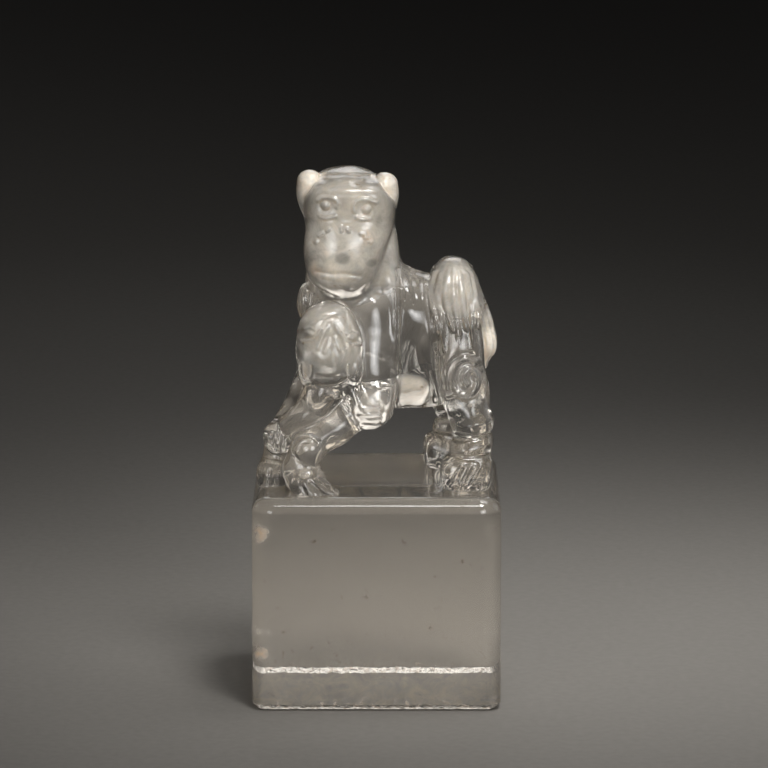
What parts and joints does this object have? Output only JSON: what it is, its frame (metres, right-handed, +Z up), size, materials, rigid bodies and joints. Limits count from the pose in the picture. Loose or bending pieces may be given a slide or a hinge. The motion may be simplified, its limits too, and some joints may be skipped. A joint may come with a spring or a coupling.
{
  "type": "crystal seal",
  "caption": "Square rock crystal seal block with a flat seal face below and a carved guardian lion and cub as its knob.",
  "frame": {"origin": "middle of the seal face, the flat underside of the block", "axes": "+Z up, out of the block's top; +X along the lion from its chest to its tail; the lion's head looks towards -Y"},
  "size_m": [0.04, 0.04, 0.0859],
  "materials": {
    "clear_crystal": "polished",
    "milky_crystal": "polished"
  },
  "bodies": {
    "root": {"seal_block": "clear_crystal", "lion_chest": "clear_crystal", "lion_torso": "clear_crystal", "lion_left_ear": "milky_crystal", "lion_right_ear": "milky_crystal", "lion_head": "milky_crystal", "near_foreleg": "clear_crystal", "far_foreleg": "clear_crystal", "near_hind_leg": "clear_crystal", "far_hind_leg": "clear_crystal", "tail_plume": "clear_crystal", "tail_tip": "clear_crystal", "cub_body": "clear_crystal", "cub_head": "milky_crystal", "cub_left_ear": "milky_crystal", "cub_right_ear": "milky_crystal", "cub_forepaw": "clear_crystal"}
  },
  "joints": []
}
